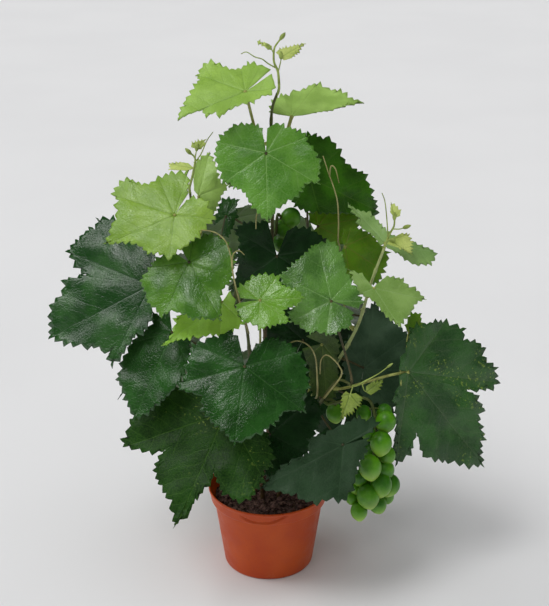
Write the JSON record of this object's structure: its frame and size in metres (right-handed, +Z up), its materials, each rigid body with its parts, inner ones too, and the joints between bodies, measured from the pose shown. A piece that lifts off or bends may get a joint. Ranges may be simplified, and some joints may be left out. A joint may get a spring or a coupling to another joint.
{
  "type": "grape ivy",
  "caption": "Artificial grapevine in a tapered plastic pot, with lobed leaves on canes, tendrils, young shoots and a hanging bunch of green grapes.",
  "frame": {"origin": "centre of the pot's flat underside", "axes": "+Z up along the pot's axis, -Y towards the side seen in the picture, +X to that view's right"},
  "size_m": [0.4355, 0.3168, 0.5375],
  "materials": {
    "pot": "satin",
    "soil": "matte",
    "cane": "satin",
    "leaf_light": "satin",
    "leaf_mid": "satin",
    "leaf_dark": "satin",
    "leaf_olive": "satin",
    "tendril": "satin",
    "shoot": "satin",
    "grape": "satin"
  },
  "bodies": {
    "root": {"pot": "pot", "soil": "soil", "cane_main": "cane", "cane_left": "cane", "cane_right": "cane", "cane_low_right": "cane", "cane_front": "cane", "cane_back_left": "cane", "cane_back_right": "cane", "leaf_top_left": "leaf_light", "leaf_top_right": "leaf_light", "leaf_top_centre": "leaf_mid", "leaf_upper_right": "leaf_dark", "leaf_inner_right": "leaf_dark", "leaf_centre_dark": "leaf_dark", "leaf_centre_right": "leaf_mid", "leaf_centre_light": "leaf_light", "leaf_right_olive": "leaf_olive", "leaf_right_shoot": "leaf_light", "leaf_right_light": "leaf_light", "leaf_right_large": "leaf_dark", "leaf_right_shade": "leaf_dark", "leaf_low_right": "leaf_dark", "leaf_low_dark": "leaf_dark", "leaf_centre_large": "leaf_dark", "leaf_left_light_low": "leaf_light", "leaf_left_shade": "leaf_dark", "leaf_left_large": "leaf_dark", "leaf_left_mid": "leaf_mid", "leaf_left_light": "leaf_light", "leaf_left_behind": "leaf_light", "leaf_inner_left": "leaf_dark", "leaf_low_left": "leaf_dark", "leaf_centre_inner": "leaf_olive", "leaf_right_behind": "leaf_olive", "leaf_inner_mid": "leaf_dark", "leaf_inner_low": "leaf_dark", "leaf_back_top": "leaf_light", "leaf_back_top_left": "leaf_mid", "leaf_back_upper": "leaf_mid", "leaf_back_left_upper": "leaf_dark", "leaf_back_middle": "leaf_mid", "leaf_back_right": "leaf_dark", "leaf_back_left": "leaf_dark", "leaf_back_low_right": "leaf_dark", "leaf_back_low_left": "leaf_dark", "leaf_back_low": "leaf_mid", "tendril_upper_right": "tendril", "tendril_left": "tendril", "tendril_arch": "tendril", "tendril_low": "tendril", "tendril_centre": "tendril", "shoot_top": "shoot", "shoot_left": "shoot", "shoot_right": "shoot", "shoot_low": "shoot", "grapes_low_right": "grape", "grapes_inner": "grape", "grapes_top": "grape"}
  },
  "joints": []
}
